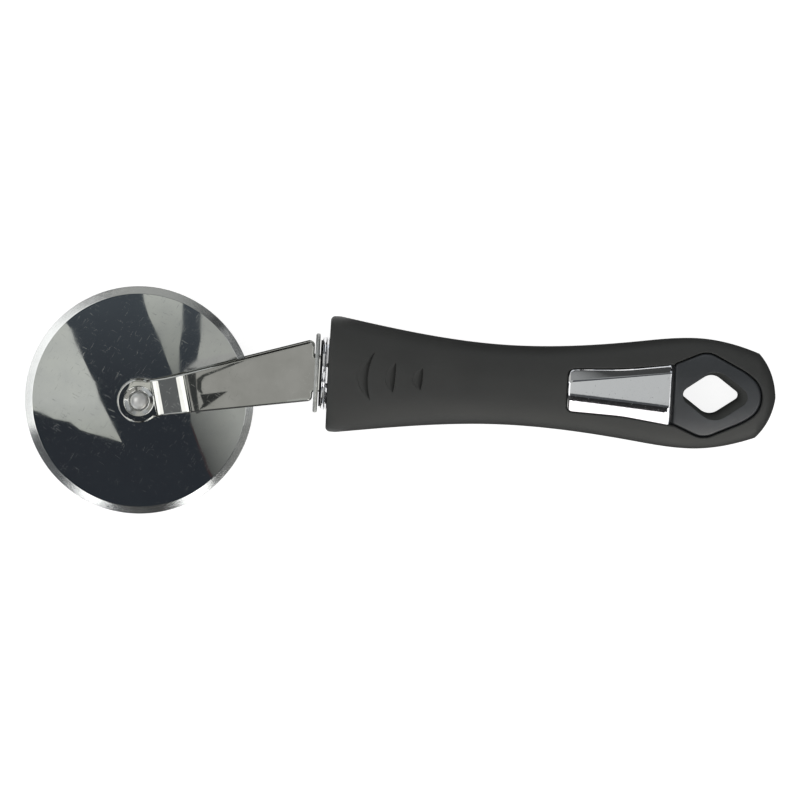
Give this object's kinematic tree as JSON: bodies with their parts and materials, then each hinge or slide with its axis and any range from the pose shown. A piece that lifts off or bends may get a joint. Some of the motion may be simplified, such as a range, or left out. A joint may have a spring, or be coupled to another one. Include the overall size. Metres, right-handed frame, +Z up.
{
  "type": "pizza cutter",
  "caption": "Hand-held pizza cutter: a bevelled steel wheel on a rivet between cranked arms, a chrome collar, and a waisted soft-grip handle with a diamond hanging hole.",
  "frame": {"origin": "middle of the outline at the level of the surface that the cutter lies on, straight below the wheel's middle line in Y", "axes": "+X along the handle towards its end, +Y away from the wheel's low side, +Z up out of the shown face, parallel to the axle"},
  "size_m": [0.2133, 0.065, 0.0221],
  "materials": {
    "wheel_steel": "mirror polished with fine scratches, satin ground bevel",
    "arm_steel": "polished",
    "rivet_steel": "satin",
    "hidden_steel": "plain",
    "collar_chrome": "mirror",
    "core_plastic": "satin",
    "grip_rubber": "matte soft touch",
    "badge_chrome": "mirror"
  },
  "bodies": {
    "handle": {"soft_grip": "grip_rubber", "handle_core": "core_plastic", "badge_plate": "badge_chrome", "ferrule": "collar_chrome", "flange_plate": "rivet_steel", "front_arm": "arm_steel", "rear_arm": "arm_steel", "axle_rivet": "rivet_steel", "hub_sleeve": "hidden_steel", "tang_pin_front": "hidden_steel", "tang_pin_rear": "hidden_steel"},
    "wheel": {"cutting_wheel": "wheel_steel"}
  },
  "joints": [
    {"name": "wheel_spin", "type": "hinge", "parent": "handle", "child": "wheel", "pos_m": [-0.07415, 0, 0.01072], "axis": [0, 0, 1], "continuous": true}
  ]
}
